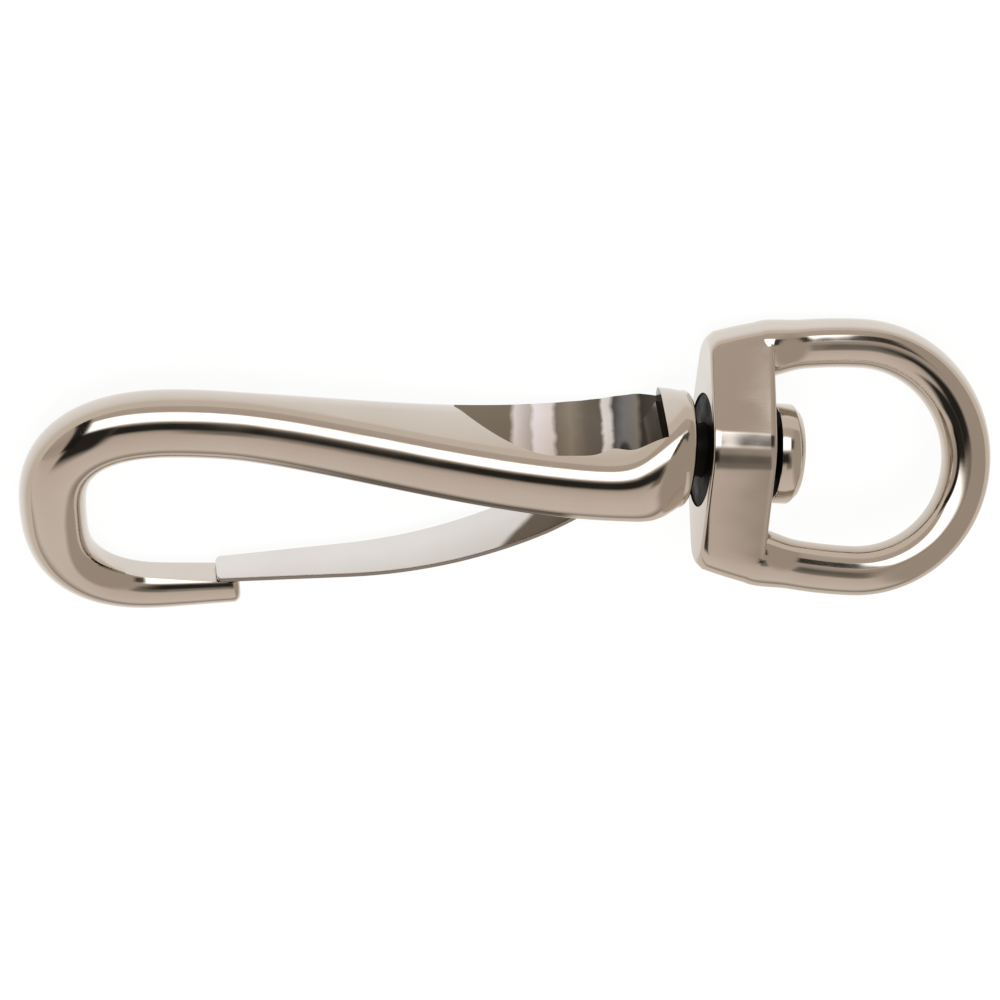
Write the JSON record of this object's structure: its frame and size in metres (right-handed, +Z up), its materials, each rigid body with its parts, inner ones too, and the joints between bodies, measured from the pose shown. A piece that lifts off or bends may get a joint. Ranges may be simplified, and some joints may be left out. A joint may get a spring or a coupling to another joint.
{
  "type": "swivel snap hook",
  "caption": "Bright nickel snap hook with a leaf spring gate, a flared scooped shank and a D shaped strap eye that swivels on a headed rivet.",
  "frame": {"origin": "middle of the eye's strap opening, on the swivel axis", "axes": "+X from the hook's bow towards the eye, along the ground; +Y across the eye; +Z up, with the part lying on its nose, its shank and the eye's low side, so the swivel axis rises by 0.9 degrees towards +X"},
  "size_m": [0.0899, 0.0335, 0.0152],
  "materials": {
    "hook_nickel": "polished",
    "leaf_nickel": "satin",
    "eye_nickel": "polished",
    "rivet_nickel": "polished"
  },
  "bodies": {
    "hook": {"hook_body": "hook_nickel", "swivel_rivet": "rivet_nickel"},
    "eye": {"swivel_eye": "eye_nickel"},
    "gate": {"gate_spring": "leaf_nickel"}
  },
  "joints": [
    {"name": "swivel", "type": "hinge", "parent": "hook", "child": "eye", "pos_m": [-0.01115, 0, -0.00017], "axis": [0.9999, 0, 0.0157], "continuous": true},
    {"name": "gate", "type": "hinge", "parent": "hook", "child": "gate", "pos_m": [-0.0205, -0.00119, -0.00058], "axis": [0.0154, 0.2096, -0.9777], "range_deg": [0, 13], "stiffness_Nm_per_rad": 0.05}
  ]
}
